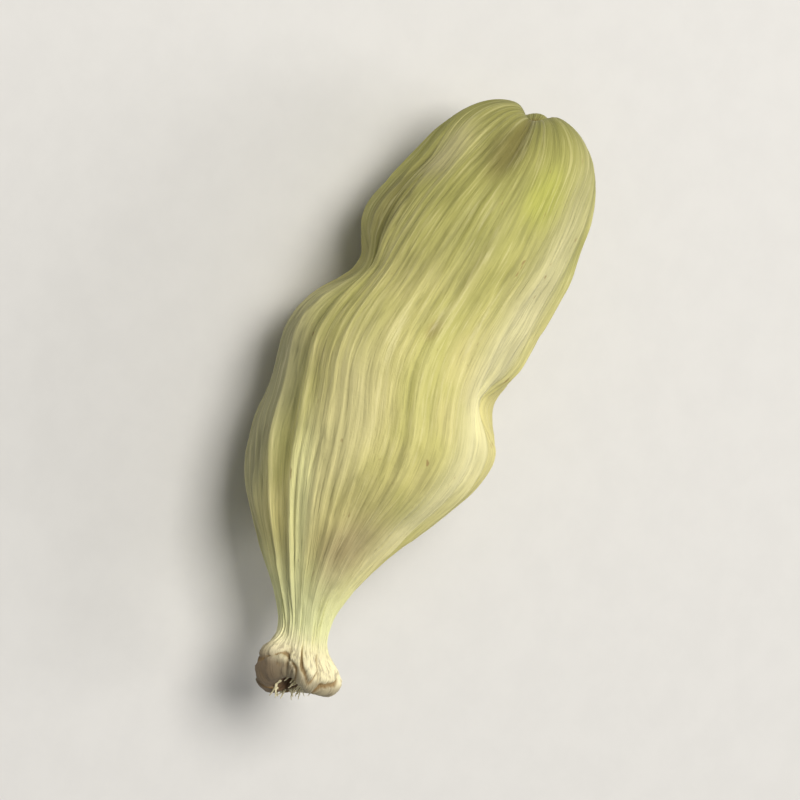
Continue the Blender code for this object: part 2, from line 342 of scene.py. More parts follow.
# The studio
FLOOR_HALF_SIDE = 0.6
CAMERA_CLIP = (1.0 * MM, 5.0)
AIR_COLOUR = (0.94, 0.97, 1.0, 1.0)
LAMP_UP = (0.3, 0.2, 1.0)

# Its lights, as (distance, shares of it to the right, up and towards the camera, side, colour)
LIGHTS = {
    "key": (0.22, (0.48, 0.24, 0.84), 0.12, (1.0, 0.97, 0.92)),
    "rim": (0.20, (1.0, -0.15, 0.12), 0.08, (1.0, 0.98, 0.95)),
    "side": (0.30, (-0.9, 0.2, 0.6), 0.20, (0.88, 0.94, 1.0)),
}


class HuskSizes(bpy.types.PropertyGroup):
    """How fine the husk's surface is, and how far its fibres and wrinkles stand out."""

    points_per_rib: IntProperty(
        name="Points per rib",
        description="Mesh points across each rib",
        default=21,
        min=4,
        max=24,
    )
    ring_spacing: FloatProperty(
        name="Ring spacing",
        description="Distance between mesh rings along the husk",
        default=0.104 * MM,
        min=0.05 * MM,
        precision=6,
        unit="LENGTH",
    )
    side_rib_height: FloatProperty(
        name="Side rib height",
        description="Height of the thin ribs between the main ones",
        default=0.042 * MM,
        precision=6,
        unit="LENGTH",
    )
    fibre_height: FloatProperty(
        name="Fibre height",
        description="Height of the fibres that run the length of the husk",
        default=0.024 * MM,
        precision=6,
        unit="LENGTH",
    )
    pucker_height: FloatProperty(
        name="Pucker height",
        description="Height of the soft puckers where the husk dried unevenly",
        default=0.050 * MM,
        precision=6,
        unit="LENGTH",
    )
    wrinkle_height: FloatProperty(
        name="Wrinkle height",
        description="Height of the cross wrinkles at the neck and round the dents",
        default=0.040 * MM,
        precision=6,
        unit="LENGTH",
    )
    crease_depth: FloatProperty(
        name="Crease depth",
        description="Depth of the thin creases in the papery husk",
        default=0.035 * MM,
        precision=6,
        unit="LENGTH",
    )
    knob_roughness: FloatProperty(
        name="Knob roughness",
        description="Height of the lumps and fibres of the torn stalk end",
        default=0.12 * MM,
        precision=6,
        unit="LENGTH",
    )
    knob_crack_depth: FloatProperty(
        name="Knob crack depth",
        description="Depth of the cracks between the lumps of the torn stalk end",
        default=0.12 * MM,
        precision=6,
        unit="LENGTH",
    )


class StalkFibreSizes(bpy.types.PropertyGroup):
    """The short torn fibres that stand round the pit in the stalk end."""

    count: IntProperty(name="Count", description="How many fibres there are", default=30, min=0)
    length: FloatProperty(
        name="Length",
        description="Length of the longest fibre",
        default=0.42 * MM,
        precision=6,
        unit="LENGTH",
    )
    radius: FloatProperty(
        name="Radius",
        description="Radius of the thickest fibre at its root",
        default=0.055 * MM,
        precision=6,
        unit="LENGTH",
    )


def colour_property(name, description, default):
    """A colour, as linear values, that a user may change."""
    return FloatVectorProperty(
        name=name, description=description, subtype="COLOR", size=3, default=default, min=0.0, max=1.0
    )


class HuskColours(bpy.types.PropertyGroup):
    """The colours of the dry husk and of its stalk end."""

    face: colour_property("Face", "The broad faces of the husk", (0.605, 0.545, 0.208))
    green: colour_property("Green", "The greener patches", (0.430, 0.420, 0.105))
    yellow_green: colour_property("Yellow-green", "The fresh patch by the tip", (0.520, 0.530, 0.090))
    rib: colour_property("Rib", "The pale crests of the ribs and fibres", (0.760, 0.690, 0.340))
    # Partly painted highlight: the crest beside the upper groove, catching the light
    ridge: colour_property("Ridge", "The bright ridge beside the upper groove", (0.870, 0.840, 0.390))
    # Painted shade: this dark olive is laid where shade falls, in the tip's creases, notch and hollow and on
    # the shaded bulge
    groove: colour_property("Groove", "The grooves between the lobes", (0.210, 0.185, 0.050))
    # Partly painted highlight: laid along the right lobe's lit edge
    cream: colour_property("Cream edge", "The cream edge of the right lobe", (0.740, 0.690, 0.420))
    # Painted shade: the darker grey-green laid on the left lobe, which is turned from the light
    grey: colour_property("Grey edge", "The greyish edge of the left lobe", (0.340, 0.325, 0.175))
    neck: colour_property("Neck", "The whitish green neck", (0.780, 0.800, 0.430))
    # Partly painted shade: this darker tan also stands for the shade in the hollow beside the neck
    tan: colour_property("Tan", "The hollow beside the neck", (0.400, 0.320, 0.165))
    speck: colour_property("Speck", "Small brown blemishes", (0.270, 0.165, 0.055))
    knob: colour_property("Knob", "The cream side of the stalk end", (0.880, 0.800, 0.510))
    # Also laid as painted shade on the knob's side turned from the light
    dull: colour_property("Dull side", "The pinkish grey side of the stalk end", (0.190, 0.140, 0.085))
    pit: colour_property("Pit", "The dark pit in the stalk end", (0.200, 0.120, 0.060))


def power_property(name, description, default):
    """A light's power in watts."""
    return FloatProperty(name=name, description=description, default=default, min=0.0, unit="POWER")


class StudioSettings(bpy.types.PropertyGroup):
    """The camera, the lights and the floor."""

    lean: FloatProperty(
        name="Lean",
        description="How far the camera leans from straight above towards +Y",
        default=math.radians(22.0),
        subtype="ANGLE",
    )
    roll: FloatProperty(
        name="Roll",
        description="How far the pod's long axis is turned clockwise from upright in the picture",
        default=math.radians(20.7),
        subtype="ANGLE",
    )
    lens: FloatProperty(name="Lens", description="Focal length in millimetres", default=250.0, min=20.0)
    fill: FloatProperty(
        name="Fill",
        description="The pod's length as a share of the picture's side",
        default=0.80,
        min=0.1,
        max=1.0,
        subtype="FACTOR",
    )
    key: power_property("Key", "Power of the main light", 0.49)
    rim: power_property("Rim", "Power of the light low beside the pod", 0.12)
    side: power_property("Side", "Power of the cool side light", 0.03)
    air: FloatProperty(name="Air", description="Strength of the even light all round", default=0.24, min=0.0)
    floor: colour_property("Floor", "The plain pale floor", (0.65, 0.64, 0.62))


def smooth_step(low, high, value):
    """0 below low, 1 above high, and an even S-curve between them."""
    share = min(1.0, max(0.0, (value - low) / (high - low)))
    return share * share * (3.0 - 2.0 * share)


def bell(value, half_width):
    """1 at zero, falling away to 0 on both sides."""
    return math.exp(-((value / half_width) ** 2))


def angle_between(a, b):
    """The angle from b to a, between -pi and pi."""
    return math.atan2(math.sin(a - b), math.cos(a - b))


def around(angle, radius, lift):
    """A point on a cylinder, so that a noise read there has no seam round the pod."""
    return Vector((lift, radius * math.cos(angle), radius * math.sin(angle)))


def curve_through(points, steps):
    """Points along a smooth curve through the given ones, with this many steps in each span."""
    padded = [points[0], *points, points[-1]]
    curve = []
    for before, start, end, after in zip(padded, padded[1:], padded[2:], padded[3:]):
        for i in range(steps):
            t = i / steps
            straight = 2 * start + (end - before) * t
            bent = (2 * before - 5 * start + 4 * end - after) * t**2
            bent_more = (3 * start - before - 3 * end + after) * t**3
            curve.append(0.5 * (straight + bent + bent_more))
    curve.append(points[-1])
    return curve


def outline(spacing):
    """The pod's half outline as (distance from the stalk end, radius), from the pit to the tip."""
    pit = [(x * PIT_DEPTH, share * PIT_RADIUS) for x, share in PIT_OUTLINE]
    knob = [(x * KNOB_LENGTH, share * KNOB_RADIUS) for x, share in KNOB_OUTLINE]
    neck = [(NECK_START, NECK_RADIUS), (NECK_END, NECK_FLARE * NECK_RADIUS)]
    body = [(x, share * BELLY_HALF_WIDTH) for x, share in BODY_OUTLINE]
    tip = [(POD_LENGTH - x, share * BELLY_HALF_WIDTH) for x, share in TIP_OUTLINE]
    points = [Vector(point) for point in [*pit, *knob, *neck, *body, *tip]]
    curve = curve_through(points, CURVE_STEPS)
    rings = [curve[0]]
    for point in curve[1:-1]:
        if (point - rings[-1]).length >= spacing:
            rings.append(point)
    return [*rings, curve[-1]]


def middle_line():
    """The middle line as a smooth curve: its distances, and how far it strays at each."""
    curve = curve_through([Vector(point) for point in MIDDLE_LINE], CURVE_STEPS)
    return numpy.array([point[:] for point in curve]).T


def rib_heights():
    """Each rib has its own height. Those beside a groove are the strongest."""
    draw = random.Random(RIB_SEED)
    heights = [draw.uniform(LOWEST_RIB, 1.0) for _ in range(RIBS)]
    per_lobe = RIBS // LOBES
    for lobe in range(LOBES):
        beside = (lobe * per_lobe + per_lobe // 2) % RIBS
        heights[beside] = GROOVE_RIB
        heights[beside - 1] = GROOVE_RIB
    return heights


def rib_crest(angle, x, heights):
    """How strongly a rib stands out here: 0 in a valley, about 1 on a strong rib's crest."""
    place = angle / math.tau * RIBS
    rib = int(math.floor(place)) % RIBS
    crest = (0.5 - 0.5 * math.cos(math.tau * place)) ** RIB_SHARPNESS
    own_line = Vector((x / RIB_UNEVENNESS_LENGTH, rib * RIB_TO_RIB, 0.0))
    along = RIB_MEAN_STRENGTH + RIB_UNEVENNESS * noise.noise(own_line)
    fade = smooth_step(*RIBS_RISE, x) * (1.0 - smooth_step(*RIBS_FADE, x))
    return heights[rib] * crest * along * fade


def three_grooves(angle, lobe_turn):
    """1 in the middle of each groove between three lobes, falling away to 0 on the lobes."""
    across = 0.0
    for lobe in range(LOBES):
        middle = lobe_turn + (lobe + 0.5) * math.tau / LOBES
        across += bell(angle_between(angle, middle), GROOVE_HALF_ANGLE)
    return across


def groove_shares(line, placed, x):
    """How deep in a groove of the belly, and in a crease of the tip, this point is."""
    on_belly = smooth_step(*GROOVES_GROW, x) * (1.0 - smooth_step(*GROOVES_FADE, x))
    at_tip = smooth_step(*TIP_CREASES_GROW, x) * (1.0 - smooth_step(RIBS_FADE[1], POD_LENGTH, x))
    return three_grooves(line, 0.0) * on_belly, three_grooves(placed, TIP_LOBE_TURN) * at_tip


def seed_relief(angle, x):
    """Gentle bumps where the dry husk has sunk onto the seeds."""
    place = around(angle, SEED_BUMPS_AROUND, x / SEED_BUMP_LENGTH)
    fade = smooth_step(*SEED_BUMPS_GROW, x) * (1.0 - smooth_step(*SEED_BUMPS_FADE, x))
    return SEED_BUMP_HEIGHT * noise.noise(place) * fade


def dent_depth(angle, x):
    """The pinch in one edge, the waist in the other, and the hollow beside the neck."""
    depth = 0.0
    for most, place, half_length, middle, half_angle in DENTS:
        across = bell(angle_between(angle, middle), half_angle)
        depth += most * across * bell(x - place, half_length)
    return depth


def lobe_factor(line, tip_wave, x):
    """How the three lobes of the body, and then those of the tip, widen the pod."""
    at_tip = smooth_step(*TIP_LOBES_GROW, x)
    wave = math.cos(LOBES * line) * (1.0 - at_tip) + tip_wave * at_tip
    return 1.0 + LOBE_RISE * wave * smooth_step(*LOBES_GROW, x)


def knob_factor(angle, x):
    """The knob is the ragged scar of the stalk, with a few soft points round its rim."""
    points = (1.0 - KNOB_SQUASH_SHARE) * math.sin(KNOB_POINTS * angle + KNOB_POINTS_TURN)
    squash = KNOB_SQUASH_SHARE * math.sin(2 * angle + KNOB_SQUASH_TURN)
    return 1.0 + KNOB_RAGGEDNESS * (points + squash) * (1.0 - smooth_step(*KNOB_SMOOTHS, x))


def end_retreat(angle, x):
    """How far the knob's broken end draws back here: its rim slants, and has a gap on top."""
    gap = RIM_BREAK_DEPTH * bell(angle_between(angle, RIM_BREAK_ANGLE), RIM_BREAK_HALF_ANGLE)
    slant = END_SLANT * (0.5 - 0.5 * math.cos(angle - LONGEST_SIDE_ANGLE))
    return (gap + slant) * (1.0 - smooth_step(0.0, END_STRAIGHTENS, x))


def turned(angle, x):
    """The angle that a line along the husk has here, twisted by the stalk and wandering."""
    twist = LOBE_TURN - STALK_TWIST * (1.0 - smooth_step(*STALK_TWIST_FADES, x))
    place = around(angle, RIB_WANDERS_AROUND, x / RIB_WANDER_LENGTH)
    return angle + twist + RIB_WANDER * noise.noise(place)


def husk_grain(line, x, dent, sizes):
    """Thin ribs, puckers, wrinkles and creases of the papery husk, as a height."""
    off_tip = 1.0 - smooth_step(RIBS_FADE[1], POD_LENGTH, x)
    side = (0.5 - 0.5 * math.cos(SIDE_RIBS_PER_RIB * RIBS * line)) ** SIDE_RIB_SHARPNESS
    change = around(line, SIDE_RIB_CHANGES_AROUND, x / RIB_UNEVENNESS_LENGTH)
    height = sizes.side_rib_height * side * (SIDE_RIB_MEAN_STRENGTH + noise.noise(change)) * off_tip
    height += sizes.pucker_height * noise.noise(around(line, PUCKERS_AROUND, x / PUCKER_LENGTH)) * off_tip
    crease = noise.noise(around(line, CREASES_AROUND, x / CREASE_LENGTH))
    height -= sizes.crease_depth * bell(crease, CREASE_SHARPNESS)

    near_neck = 1.0 - smooth_step(*WRINKLES_LEAVE_NECK, x)
    dented = min(1.0, dent / WRINKLING_DENT)
    crossing = noise.noise(around(line, WRINKLES_AROUND, x / WRINKLE_LENGTH))
    strength = WRINKLES_EVERYWHERE + WRINKLES_WHERE_BENT * near_neck + WRINKLES_WHERE_BENT * dented
    return height + sizes.wrinkle_height * crossing * strength


def knob_grain(line, x, sizes):
    """Lumps, torn fibres and cracks of the stalk end, as a height."""
    place = around(line, KNOB_LUMPS_AROUND, x / KNOB_LUMP_LENGTH)
    lumps = noise.fractal(place, KNOB_LUMP_SOFTNESS, KNOB_LUMP_FINER_BY, KNOB_LUMP_LAYERS)
    torn = noise.noise(around(line, KNOB_FIBRES_AROUND, x / KNOB_FIBRE_LENGTH))
    crack = noise.noise(around(line, KNOB_CRACKS_AROUND, x / KNOB_CRACK_LENGTH))
    cracked = sizes.knob_crack_depth * bell(crack, KNOB_CRACK_SHARPNESS)
    return sizes.knob_roughness * KNOB_LUMP_STRENGTH * (lumps + torn) - cracked


def fine_relief(line, x, dent, sizes):
    """The grain of the husk and of the knob, with fibres over both, as a height."""
    off_knob = smooth_step(*KNOB_SMOOTHS, x)
    height = sizes.fibre_height * noise.noise(around(line, FIBRES_AROUND, x / FIBRE_LENGTH))
    if off_knob > 0.0:
        height += off_knob * husk_grain(line, x, dent, sizes)
    if off_knob < 1.0:
        height += (1.0 - off_knob) * knob_grain(line, x, sizes)
    return height


def patch_share(patch, x, angle):
    """How much a point belongs to a patch."""
    place, half_length, middle, half_angle = patch
    return bell(x - place, half_length) * bell(angle_between(angle, middle), half_angle)


def colour_marks(x, line, placed, plain_radius):
    """How much a point belongs to each part of the husk that has a colour of its own."""
    inside = 1.0 - smooth_step(*PIT_MOUTH, plain_radius)
    marks = {
        "knob": 1.0 - smooth_step(*KNOB_COLOUR_ENDS, x),
        "pit": inside * (1.0 - smooth_step(*PIT_COLOUR_ENDS, x)),
        "scar": (1.0 - smooth_step(0.0, TIP_DIMPLE_RADIUS, plain_radius)) * smooth_step(*TIP_LOBES_GROW, x),
    }
    for name, patch in PATCHES.items():
        marks[name] = patch_share(patch, x, placed)
    marks["pale_ridge"] = patch_share(PALE_RIDGE_HIGHLIGHT, x, line)
    return marks


def spun_body(sizes):
    """A plain body of revolution: the outline spun round the long axis, with both ends closed."""
    mesh = bmesh.new()
    profile = [mesh.verts.new((x, 0.0, radius)) for x, radius in outline(sizes.ring_spacing)]
    edges = [mesh.edges.new(pair) for pair in zip(profile, profile[1:])]
    bmesh.ops.spin(
        mesh,
        geom=[*profile, *edges],
        cent=(0.0, 0.0, 0.0),
        axis=(1.0, 0.0, 0.0),
        angle=math.tau,
        steps=RIBS * sizes.points_per_rib,
        use_merge=True,
    )
    ends = bmesh.ops.holes_fill(mesh, edges=[edge for edge in mesh.edges if edge.is_boundary])
    bmesh.ops.poke(mesh, faces=ends["faces"])
    bmesh.ops.recalc_face_normals(mesh, faces=mesh.faces)
    return mesh


def shape_husk(mesh, sizes):
    """Raises the relief on the spun body and stores what the finish needs at each point."""
    grain = mesh.verts.layers.float_vector.new("grain")
    names = ["crest", "groove", "tip_crease", "fine", "knob", "pit", "scar", "pale_ridge", *PATCHES]
    stored = {name: mesh.verts.layers.float.new(name) for name in names}
    heights = rib_heights()
    middle = middle_line()
    for vert in mesh.verts:
        x = vert.co.x
        plain_radius = math.hypot(vert.co.y, vert.co.z)
        line = math.atan2(vert.co.y, vert.co.z)
        placed = turned(line, x)
        tip_wave = math.cos(LOBES * (placed - TIP_LOBE_TURN))
        crest = rib_crest(line, x, heights)
        groove, tip_crease = groove_shares(line, placed, x)
        dent = dent_depth(placed, x)
        fine = fine_relief(line, x, dent, sizes)
        radius = plain_radius * lobe_factor(line, tip_wave, x) * knob_factor(line, x)
        radius += RIB_HEIGHT * crest - GROOVE_DEPTH * groove - TIP_CREASE_DEPTH * tip_crease
        radius += seed_relief(line, x) - dent
        radius += fine * smooth_step(0.0, PIT_RADIUS, plain_radius)

        off_centre = smooth_step(0.0, TIP_DIMPLE_RADIUS, plain_radius)
        near_tip = smooth_step(*TIP_LOBES_GROW, x) * off_centre
        reach = TIP_LOBE_REACH * (0.5 + 0.5 * tip_wave) * near_tip
        flatter = (1.0 - DEPTH_TO_WIDTH) * smooth_step(*LOBES_GROW, x)
        lift = NECK_LIFT * (1.0 - smooth_step(0.0, NECK_LIFT_ENDS, x))
        vert[grain] = around(line, BELLY_HALF_WIDTH / MM, x / MM)
        marks = {"crest": crest, "groove": groove, "tip_crease": tip_crease, "fine": fine / FINE_MARK}
        marks.update(colour_marks(x, line, placed, plain_radius))
        for name, layer in stored.items():
            vert[layer] = marks[name]
        vert.co = (
            x + reach + end_retreat(placed, x),
            radius * math.sin(placed) + numpy.interp(x, *middle),
            radius * math.cos(placed) * (1.0 - flatter) + lift,
        )


def rest_on_solid(mesh):
    """Flattens the lowest points as the solid's are, and sets the husk where the solid lies."""
    ground = min(vert.co.z for vert in mesh.verts) + REST_FLAT_DEPTH
    for vert in mesh.verts:
        vert.co.z = max(vert.co.z, ground)
    middle = Vector((0.0, 0.0, ground))
    for axis in (0, 1):
        places = [vert.co[axis] for vert in mesh.verts]
        middle[axis] = (min(places) + max(places) - POD_LOW[axis] - POD_HIGH[axis]) / 2
    bmesh.ops.translate(mesh, verts=mesh.verts, vec=-middle)


def object_from(mesh, name, material):
    """Links the finished mesh as an object at the origin, with its finish."""
    data = bpy.data.meshes.new(name)
    mesh.to_mesh(data)
    mesh.free()
    data.shade_smooth()
    data.materials.append(material)
    piece = bpy.data.objects.new(name, data)
    bpy.context.scene.collection.objects.link(piece)
    return piece


def dress(piece):
    """Makes a piece part of the pod."""
    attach(piece, "root")
    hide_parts("cardamom_pod")


class Nodes:
    """A short way to write a material's or a group's nodes."""

    def __init__(self, tree):
        self.tree = tree

    def add(self, kind, inputs=None, **settings):
        """A new node with its settings, its inputs fed."""
        node = self.tree.nodes.new(kind)
        for name, value in settings.items():
            setattr(node, name, value)
        for name, value in (inputs or {}).items():
            self.feed(node.inputs[name], value)
        return node

    def feed(self, socket, value):
        """Links a socket to another node's output, or sets its value."""
        if isinstance(value, bpy.types.NodeSocket):
            self.tree.links.new(value, socket)
        else:
            socket.default_value = value

    def times(self, first, second):
        """The product of two values."""
        return self.add("ShaderNodeMath", {0: first, 1: second}, operation="MULTIPLY").outputs[0]

    def weighted(self, parts):
        """The sum of values, each times its own weight."""
        shares = [self.times(value, weight) for value, weight in parts]
        total = shares[0]
        for share in shares[1:]:
            total = self.add("ShaderNodeMath", {0: total, 1: share}, operation="ADD").outputs[0]
        return total

    def scaled(self, place, scale):
        """A place with all its axes scaled alike."""
        inputs = {0: place, "Scale": scale}
        return self.add("ShaderNodeVectorMath", inputs, operation="SCALE").outputs["Vector"]

    def ramp(self, value, low, high, start, end):
        """Start where the value is at or below low, end at or above high."""
        inputs = {"Value": value, "From Min": low, "From Max": high, "To Min": start, "To Max": end}
        node = self.add("ShaderNodeMapRange", inputs, interpolation_type="SMOOTHSTEP")
        return node.outputs["Result"]

    def mix(self, share, first, second, blend="MIX"):
        """Mixes two colours by a share between 0 and 1."""
        node = self.add("ShaderNodeMix", {"Factor": share}, data_type="RGBA", blend_type=blend)
        for name, value in (("A", first), ("B", second)):
            socket = next(s for s in node.inputs if s.name == name and s.type == "RGBA")
            self.feed(socket, value if isinstance(value, bpy.types.NodeSocket) else (*value[:3], 1.0))
        return next(s for s in node.outputs if s.type == "RGBA")

    def shade(self, colour, brightness):
        """The colour made darker or brighter by a factor."""
        grey = self.add("ShaderNodeCombineColor", {0: brightness, 1: brightness, 2: brightness})
        return self.mix(1.0, colour, grey.outputs[0], "MULTIPLY")

    def noise(self, place, scale, detail, roughness):
        """Noise read at a place, which swings about 0.5."""
        inputs = {"Vector": place, "Scale": scale, "Detail": detail, "Roughness": roughness}
        return self.add("ShaderNodeTexNoise", inputs).outputs["Fac"]

    def squeezed(self, place, along):
        """The place with its first axis squeezed, so that patterns read there run along it."""
        factor = self.add("ShaderNodeCombineXYZ", {"X": along, "Y": 1.0, "Z": 1.0}).outputs[0]
        inputs = {0: place, 1: factor}
        return self.add("ShaderNodeVectorMath", inputs, operation="MULTIPLY").outputs["Vector"]

    def mark(self, name):
        """A value that the mesh stores at each of its points."""
        return self.add("ShaderNodeAttribute", attribute_name=name).outputs["Fac"]

    def bump(self, height, size):
        """A normal that a height tilts, with the bump's strength and distance."""
        return self.add("ShaderNodeBump", {"Height": height, **size}).outputs["Normal"]


def fibre_group():
    """Fibres along a grain: masks of pale threads and of dark gaps, and their height."""
    group = bpy.data.node_groups.new("husk_fibres", "ShaderNodeTree")
    group.interface.new_socket("Place", in_out="INPUT", socket_type="NodeSocketVector")
    group.interface.new_socket("Fineness", in_out="INPUT", socket_type="NodeSocketFloat")
    group.interface.new_socket("Squeeze", in_out="INPUT", socket_type="NodeSocketFloat")
    for name in ("Pale", "Dark", "Height"):
        group.interface.new_socket(name, in_out="OUTPUT", socket_type="NodeSocketFloat")
    nodes = Nodes(group)
    given = nodes.add("NodeGroupInput").outputs
    place = nodes.scaled(nodes.squeezed(given["Place"], given["Squeeze"]), given["Fineness"])
    broad = nodes.noise(place, *BROAD_NOISE)
    thread = nodes.noise(place, *THREAD_NOISE)
    hair = nodes.noise(place, *HAIR_NOISE)
    crinkle = nodes.noise(nodes.scaled(given["Place"], given["Fineness"]), *CRINKLE_NOISE)
    pale = nodes.weighted([(broad, 0.25), (thread, 0.4), (hair, 0.35)])
    outputs = {
        "Pale": nodes.ramp(pale, *PALE_THREADS),
        "Dark": nodes.ramp(pale, *DARK_GAPS),
        "Height": nodes.weighted([(thread, 0.5), (hair, 0.5), (crinkle, 0.35)]),
    }
    nodes.add("NodeGroupOutput", outputs)
    return group


def fibres(nodes, place, fineness, squeeze):
    """Places the fibre group in a material and returns its outputs."""
    group = bpy.data.node_groups.get("husk_fibres") or fibre_group()
    node = nodes.add("ShaderNodeGroup", node_tree=group)
    nodes.feed(node.inputs["Place"], place)
    nodes.feed(node.inputs["Fineness"], fineness)
    nodes.feed(node.inputs["Squeeze"], squeeze)
    return node.outputs


def new_material(name):
    """A material with its shader, ready for its nodes."""
    material = bpy.data.materials.new(name)
    material.use_nodes = True
    shader = material.node_tree.nodes["Principled BSDF"]
    return material, shader, Nodes(material.node_tree)


def husk_colour(nodes, colours, grain, along, strands):
    """The husk between its ends: greener faces, pale ribs and threads, grooves lightened with painted light,
    olive painted shade in the tip's creases, blemishes.
    """
    blotch = nodes.ramp(nodes.noise(grain, *BLOTCH_NOISE), *BLOTCHES)
    colour = nodes.mix(blotch, colours.face, colours.green)
    colour = nodes.mix(nodes.ramp(along, *GREENER_TO_TIP), colour, colours.green)
    for mark, tint, most in TINTS:
        share = nodes.ramp(nodes.mark(mark), *TINT_EDGES, 0.0, most)
        colour = nodes.mix(share, colour, getattr(colours, tint))
    colour = nodes.shade(colour, nodes.ramp(along, *DARKER_TO_TIP))
    colour = nodes.shade(colour, nodes.ramp(along, *DARKER_AT_TIP))
    colour = nodes.mix(nodes.times(strands["Pale"], HUSK_THREAD_SHARE), colour, colours.rib)
    colour = nodes.shade(colour, nodes.ramp(strands["Dark"], *GAP_SHADE))
    colour = nodes.shade(colour, nodes.ramp(nodes.mark("fine"), *RELIEF_SHADE))
    colour = nodes.shade(colour, nodes.ramp(nodes.mark("groove"), *GROOVE_PAINTED_LIGHT))
    # Painted shade: the tip's creases are darkened with the groove colour
    colour = nodes.mix(nodes.ramp(nodes.mark("tip_crease"), *TIP_CREASE_SHADE), colour, colours.groove)
    specks = nodes.noise(nodes.squeezed(grain, SPECK_SQUEEZE), *SPECK_NOISE)
    return nodes.mix(nodes.ramp(specks, *SPECKS), colour, colours.speck)


def end_colours(nodes, colours, colour, grain, along):
    """Lays the whitish neck, the torn knob with its pit, and the scar at the tip over the husk."""
    colour = nodes.mix(nodes.ramp(along, *NECK_TINT), colour, colours.neck)
    torn = fibres(nodes, grain, *KNOB_FIBRES)
    # Painted shade: the knob's side turned from the light takes the dull pinkish grey
    knob = nodes.mix(nodes.ramp(nodes.mark("dull_side"), *KNOB_SHADE_TINT), colours.knob, colours.dull)
    knob = nodes.mix(nodes.ramp(along, *BROKEN_END_TINT), knob, colours.dull)
    knob = nodes.mix(nodes.times(torn["Dark"], KNOB_GAP_SHARE), knob, colours.dull)
    knob = nodes.mix(nodes.ramp(nodes.mark("fine"), *KNOB_CRACK_TINT), knob, colours.speck)
    colour = nodes.mix(nodes.mark("knob"), colour, knob)
    colour = nodes.mix(nodes.ramp(nodes.mark("pit"), *PIT_TINT), colour, colours.pit)
    return nodes.mix(nodes.ramp(nodes.mark("scar"), *SCAR_TINT), colour, colours.speck)


def husk_finish(colours):
    """Dry papery husk, from its torn cream stalk end to the scar at its tip."""
    material, shader, nodes = new_material("dry_husk_finish")
    grain = nodes.add("ShaderNodeAttribute", attribute_name="grain").outputs["Vector"]
    along = nodes.add("ShaderNodeSeparateXYZ", {"Vector": grain}).outputs[0]
    strands = fibres(nodes, grain, *HUSK_FIBRES)
    colour = husk_colour(nodes, colours, grain, along, strands)
    nodes.feed(shader.inputs["Base Color"], end_colours(nodes, colours, colour, grain, along))
    nodes.feed(shader.inputs["Roughness"], nodes.ramp(strands["Pale"], *HUSK_ROUGHNESS))
    nodes.feed(shader.inputs["Normal"], nodes.bump(strands["Height"], HUSK_BUMP))
    nodes.feed(shader.inputs["Specular IOR Level"], HUSK_SHINE)
    return material


class POD_OT_husk(bpy.types.Operator):
    """Grow the ribbed husk over the pod's solid"""

    bl_idname = "pod.husk"
    bl_label = "Grow Husk"

    def execute(self, context):
        sizes = context.scene.husk_sizes
        mesh = spun_body(sizes)
        shape_husk(mesh, sizes)
        rest_on_solid(mesh)
        dress(object_from(mesh, "husk", husk_finish(context.scene.husk_colours)))
        return {"FINISHED"}


def add_strand(mesh, root, direction, length, radius, draw):
    """One torn fibre: a thin tapered rod that bends a little at each joint."""
    step = length / STRAND_JOINTS
    turn = direction.to_track_quat("Z", "Y").to_matrix().to_4x4()
    made = bmesh.ops.create_cone(
        mesh,
        cap_ends=True,
        cap_tris=False,
        segments=STRAND_SIDES,
        radius1=radius,
        radius2=radius,
        depth=step,
        matrix=Matrix.Translation(root) @ turn,
    )
    faces = {face for vert in made["verts"] for face in vert.link_faces}
    tip = max(faces, key=lambda face: face.calc_center_median().dot(direction))
    heading = direction.copy()
    for _ in range(STRAND_JOINTS - 1):
        tip = bmesh.ops.extrude_discrete_faces(mesh, faces=[tip])["faces"][0]
        heading = (heading + scatter(draw, STRAND_BEND)).normalized()
        bmesh.ops.translate(mesh, verts=tip.verts, vec=heading * step)
        to_centre = Matrix.Translation(-tip.calc_center_median())
        bmesh.ops.scale(mesh, verts=tip.verts, vec=(STRAND_TAPER,) * 3, space=to_centre)


def scatter(draw, reach):
    """A small step in any direction."""
    return Vector([draw.uniform(-reach, reach) for _ in range(3)])


def strand_finish(colours):
    """Dry cream fibre with darker streaks along it."""
    material, shader, nodes = new_material("torn_fibre_finish")
    place = nodes.add("ShaderNodeTexCoord").outputs["Object"]
    streaks = fibres(nodes, nodes.scaled(place, 1.0 / MM), *STRAND_FIBRES)
    colour = nodes.mix(nodes.times(streaks["Dark"], STRAND_GAP_SHARE), colours.knob, colours.dull)
    nodes.feed(shader.inputs["Base Color"], colour)
    nodes.feed(shader.inputs["Roughness"], nodes.ramp(streaks["Pale"], *STRAND_ROUGHNESS))
    nodes.feed(shader.inputs["Normal"], nodes.bump(streaks["Height"], STRAND_BUMP))
    return material


def pit_rim(husk):
    """The points of the husk round the mouth of the pit, with the way that each one faces."""
    knob = husk.data.attributes["knob"].data
    pit = husk.data.attributes["pit"].data
    rim = []
    for vert in husk.data.vertices:
        round_the_mouth = RIM_LEAST_PIT < pit[vert.index].value < RIM_MOST_PIT
        if round_the_mouth and knob[vert.index].value > RIM_LEAST_KNOB:
            rim.append((vert.co.copy(), vert.normal.copy()))
    return rim


